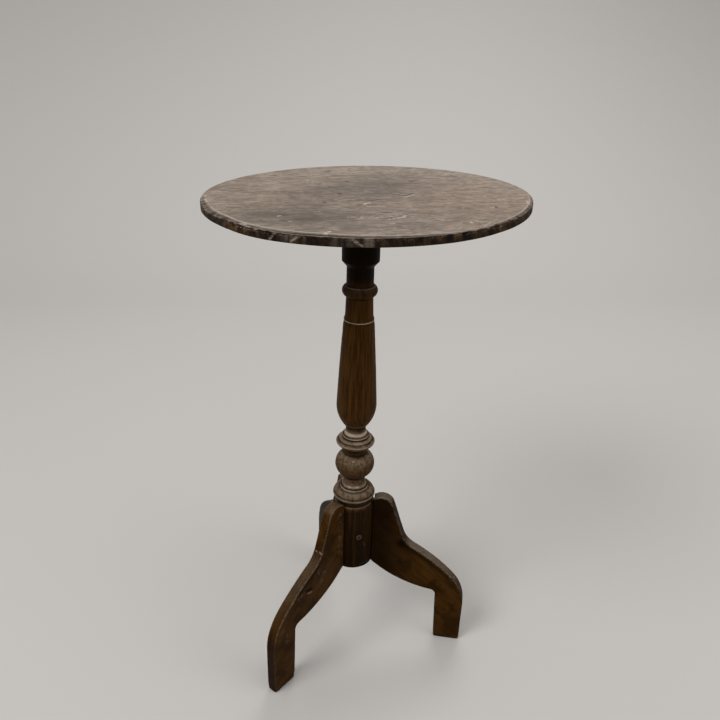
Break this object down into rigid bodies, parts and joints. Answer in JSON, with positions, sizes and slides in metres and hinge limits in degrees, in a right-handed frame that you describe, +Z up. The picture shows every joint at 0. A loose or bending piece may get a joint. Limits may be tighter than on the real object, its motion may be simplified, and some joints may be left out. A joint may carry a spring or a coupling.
{
  "type": "lamp table",
  "caption": "Small round pedestal table: thin round top on a cleat, a turned column and a spread foot of sawn, kneed legs.",
  "frame": {"origin": "on the floor, under the middle of the round top", "axes": "+Z up; the picture's viewer stands at -Y and sees +X to the right; the column leans a little towards +X"},
  "size_m": [0.42, 0.42, 0.72],
  "materials": {
    "top_wood": "worn matt, old finish rubbed through to grey-brown wood",
    "cleat_wood": "bare sawn wood, darkened by age",
    "column_wood": "dark stain, satin, dusty on upward faces",
    "leg_wood": "dark stain, satin, worn grey along the edges",
    "peg_wood": "end grain, rubbed",
    "screw_iron": "dull, oxidised"
  },
  "bodies": {
    "root": {"top_board_front": "top_wood", "top_board_rear": "top_wood", "cleat": "cleat_wood", "cleat_screws": "screw_iron", "column": "column_wood", "tenon_wedge": "peg_wood", "leg_right": "leg_wood", "leg_rear": "leg_wood", "leg_left": "leg_wood", "peg_right": "peg_wood", "peg_rear": "peg_wood", "peg_left": "peg_wood"}
  },
  "joints": []
}
